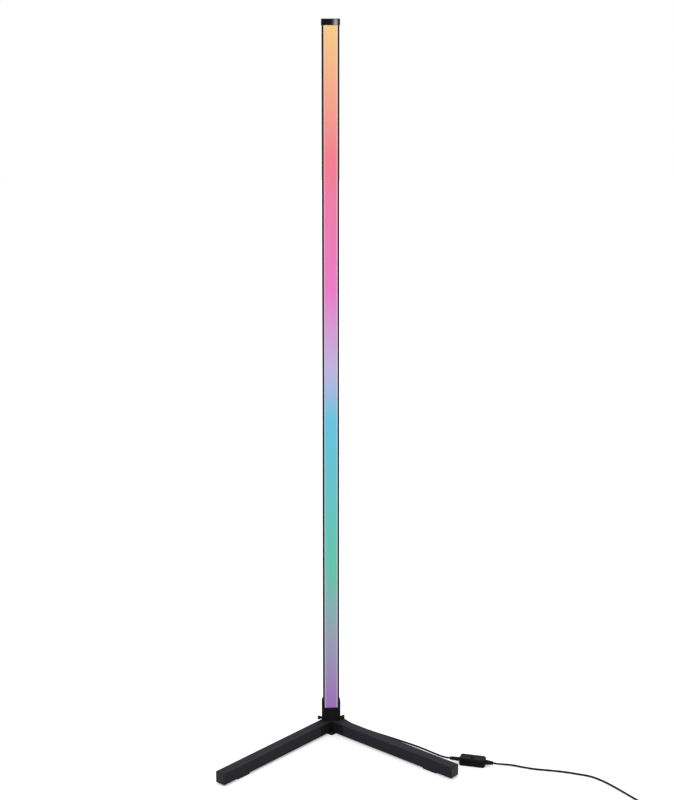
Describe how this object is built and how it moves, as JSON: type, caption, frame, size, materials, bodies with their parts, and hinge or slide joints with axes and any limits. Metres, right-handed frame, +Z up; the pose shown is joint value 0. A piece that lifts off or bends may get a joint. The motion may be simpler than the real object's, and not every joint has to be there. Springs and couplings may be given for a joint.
{
  "type": "corner floor lamp",
  "caption": "Slim square-section light column with a full-length glowing diffuser on a low right-angled base, with an in-line button controller, a supply cord and a flat plug.",
  "frame": {"origin": "on the floor where the centre lines of the two legs cross, under the column's axis", "axes": "+Z up along the column; the diffuser faces -Y, into the right angle that the legs open; +X to the right of somebody who faces the light"},
  "size_m": [0.8165, 0.4822, 1.4],
  "materials": {
    "black_anodised": "satin black anodised",
    "black_powder": "fine matte black powder coat",
    "black_plastic": "satin",
    "controller_plastic": "soft gloss",
    "opal": "opal, lit from behind",
    "strip_white": "matte",
    "chip": "clear cast over phosphor",
    "rubber": "matte",
    "cord_black": "smooth satin PVC",
    "steel": "zinc plated",
    "joiner_alloy": "mill finish",
    "board_green": "solder mask",
    "contact_gold": "gold flash"
  },
  "bodies": {
    "lamp": {"lower_profile": "black_anodised", "middle_profile": "black_anodised", "upper_profile": "black_anodised", "lower_joiner": "joiner_alloy", "upper_joiner": "joiner_alloy", "column_screws": "steel", "diffuser": "opal", "led_strip": "strip_white", "led_chips": "chip", "strip_connector": "strip_white", "top_cap": "black_plastic", "base_plug": "black_plastic", "hub": "black_powder", "hub_foot": "rubber", "left_leg": "black_powder", "right_leg": "black_powder", "left_end_cap": "black_plastic", "right_end_cap": "black_plastic", "left_foot": "rubber", "right_foot": "rubber", "leg_screws": "steel", "cable_gland": "rubber", "inner_lead": "cord_black", "lamp_lead": "cord_black", "controller_base": "controller_plastic", "controller_cover": "controller_plastic", "controller_board": "board_green", "tact_switch": "steel", "controller_screws": "steel", "lead_boot": "cord_black", "cord_boot": "cord_black", "supply_cord": "cord_black", "cord_coil": "cord_black", "coil_tie": "rubber", "plug_tail": "cord_black", "plug_grip": "cord_black", "plug_shell": "steel", "plug_tongue": "strip_white", "plug_contacts": "contact_gold"},
    "left_screw": {"thumb_screw_left": "black_powder"},
    "right_screw": {"thumb_screw_right": "black_powder"},
    "button": {"controller_button": "controller_plastic"}
  },
  "joints": [
    {"name": "left_screw_turn", "type": "hinge", "parent": "lamp", "child": "left_screw", "pos_m": [-0.02, -0.006, 0.0296], "axis": [-1, 0, 0], "continuous": true},
    {"name": "right_screw_turn", "type": "hinge", "parent": "lamp", "child": "right_screw", "pos_m": [0.02, -0.006, 0.0296], "axis": [1, 0, 0], "continuous": true},
    {"name": "button_press", "type": "slide", "parent": "lamp", "child": "button", "axis": [0, 0, -1], "range_m": [0, 0.0008], "stiffness_N_per_m": 500, "springref_m": -0.0004}
  ]
}
